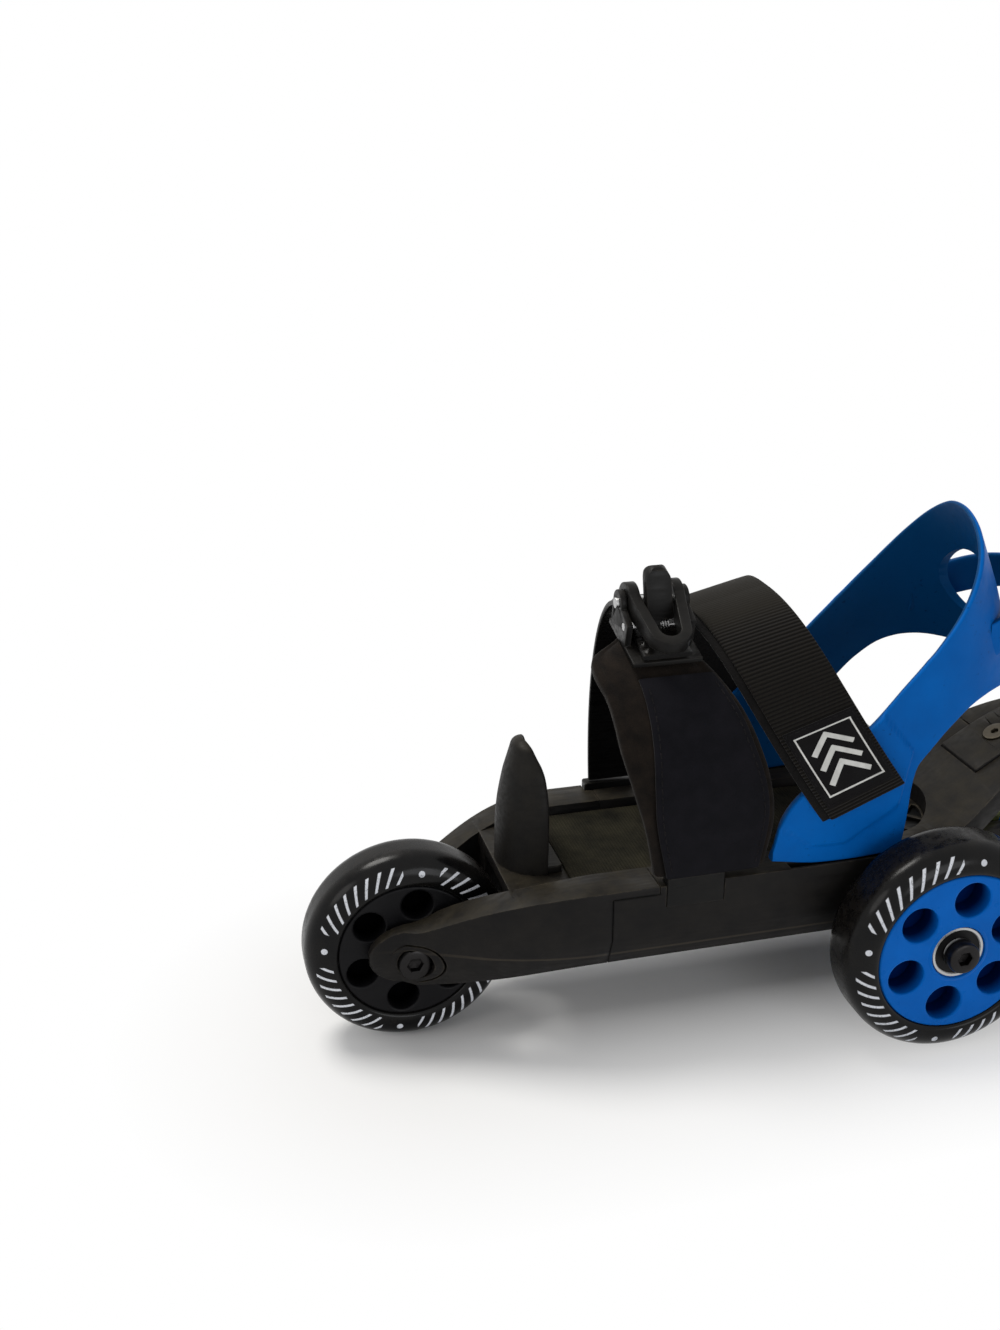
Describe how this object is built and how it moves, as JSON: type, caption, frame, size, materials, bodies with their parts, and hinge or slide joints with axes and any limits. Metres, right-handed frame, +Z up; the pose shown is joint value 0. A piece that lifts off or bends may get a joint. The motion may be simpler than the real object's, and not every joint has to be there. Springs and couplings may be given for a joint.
{
  "type": "strap-on platform roller skate",
  "caption": "Strap-on platform roller skate for a shoe: fork wheel in front, side wheels at the heel, braked wheel behind, heel cup, instep strap and ratchet toe strap.",
  "frame": {"origin": "on the ground under the middle of the skate, half way between the foremost and rearmost points of its wheels", "axes": "+X towards the heel, +Y towards the right side, +Z up; the toe points to -X"},
  "size_m": [0.357, 0.1552, 0.203],
  "materials": {
    "chassis": "moulded satin grain",
    "post": "moulded satin grain",
    "grip": "fine ribbed grip",
    "steel": "zinc plated",
    "black_steel": "black oxide",
    "bronze": "plated screw",
    "tyre": "smooth polyurethane",
    "smoke_tyre": "translucent smoky polyurethane",
    "hub_blue": "moulded nylon",
    "hub_black": "moulded nylon",
    "cup": "flexible moulded shell",
    "webbing": "ribbed woven webbing",
    "label": "woven patch",
    "cuff": "padded neoprene",
    "overlay": "smooth synthetic",
    "ladder": "moulded",
    "buckle": "moulded",
    "friction": "friction lining"
  },
  "bodies": {
    "chassis": {"rear_chassis": "chassis", "rear_grip_pad": "grip", "length_lock_screw": "steel", "left_spacers": "steel", "left_axle_bolt": "black_steel", "right_spacers": "steel", "right_axle_bolt": "black_steel", "rear_spacers": "steel", "rear_axle_bolt": "black_steel", "rear_axle_nut": "steel", "brake_discs": "friction", "brake_fender": "chassis", "fender_key": "chassis", "fender_bolt": "bronze", "heel_cup": "cup", "heel_cup_screws": "steel", "instep_strap": "webbing", "strap_label": "label", "toe_cuff": "cuff", "cuff_overlay": "overlay", "cuff_tab": "buckle", "ladder_strap": "ladder", "ladder_tab": "buckle", "tab_pins": "steel", "buckle_base": "buckle", "buckle_pin": "steel", "pawl_pin": "steel", "pawl_spring": "steel"},
    "front_frame": {"front_chassis": "chassis", "toe_post": "post", "post_screws": "steel", "front_grip_pad": "grip", "front_spacers": "steel", "front_axle_bolt": "black_steel", "front_axle_nut": "steel"},
    "front_wheel": {"front_tyre": "tyre", "front_hub": "hub_black", "front_bearings": "steel"},
    "left_wheel": {"left_tyre": "tyre", "left_hub": "hub_blue", "left_bearings": "steel"},
    "right_wheel": {"right_tyre": "tyre", "right_hub": "hub_blue", "right_bearings": "steel"},
    "rear_wheel": {"rear_tyre": "smoke_tyre", "rear_hub": "hub_blue", "rear_bearings": "steel"},
    "buckle_lever": {"buckle_lever": "buckle"},
    "buckle_pawl": {"buckle_pawl": "buckle"}
  },
  "joints": [
    {"name": "length_adjust", "type": "slide", "parent": "chassis", "child": "front_frame", "axis": [-1, 0, 0], "range_m": [0, 0.03]},
    {"name": "front_wheel_spin", "type": "hinge", "parent": "front_frame", "child": "front_wheel", "pos_m": [-0.1375, 0, 0.041], "axis": [0, 1, 0], "continuous": true},
    {"name": "left_wheel_spin", "type": "hinge", "parent": "chassis", "child": "left_wheel", "pos_m": [0.0655, -0.06, 0.045], "axis": [0, 1, 0], "continuous": true},
    {"name": "right_wheel_spin", "type": "hinge", "parent": "chassis", "child": "right_wheel", "pos_m": [0.0655, 0.06, 0.045], "axis": [0, 1, 0], "continuous": true},
    {"name": "rear_wheel_spin", "type": "hinge", "parent": "chassis", "child": "rear_wheel", "pos_m": [0.1425, 0, 0.056], "axis": [0, 1, 0], "continuous": true},
    {"name": "buckle_lever_hinge", "type": "hinge", "parent": "chassis", "child": "buckle_lever", "pos_m": [-0.041, -0.00837, 0.17713], "axis": [-1, 0, 0], "range_deg": [0, 75], "stiffness_Nm_per_rad": 0.05, "springref_deg": -17.19},
    {"name": "buckle_pawl_hinge", "type": "hinge", "parent": "chassis", "child": "buckle_pawl", "pos_m": [-0.041, -0.01571, 0.17004], "axis": [-1, 0, 0], "range_deg": [0, 10], "stiffness_Nm_per_rad": 0.05, "springref_deg": -11.46}
  ]
}
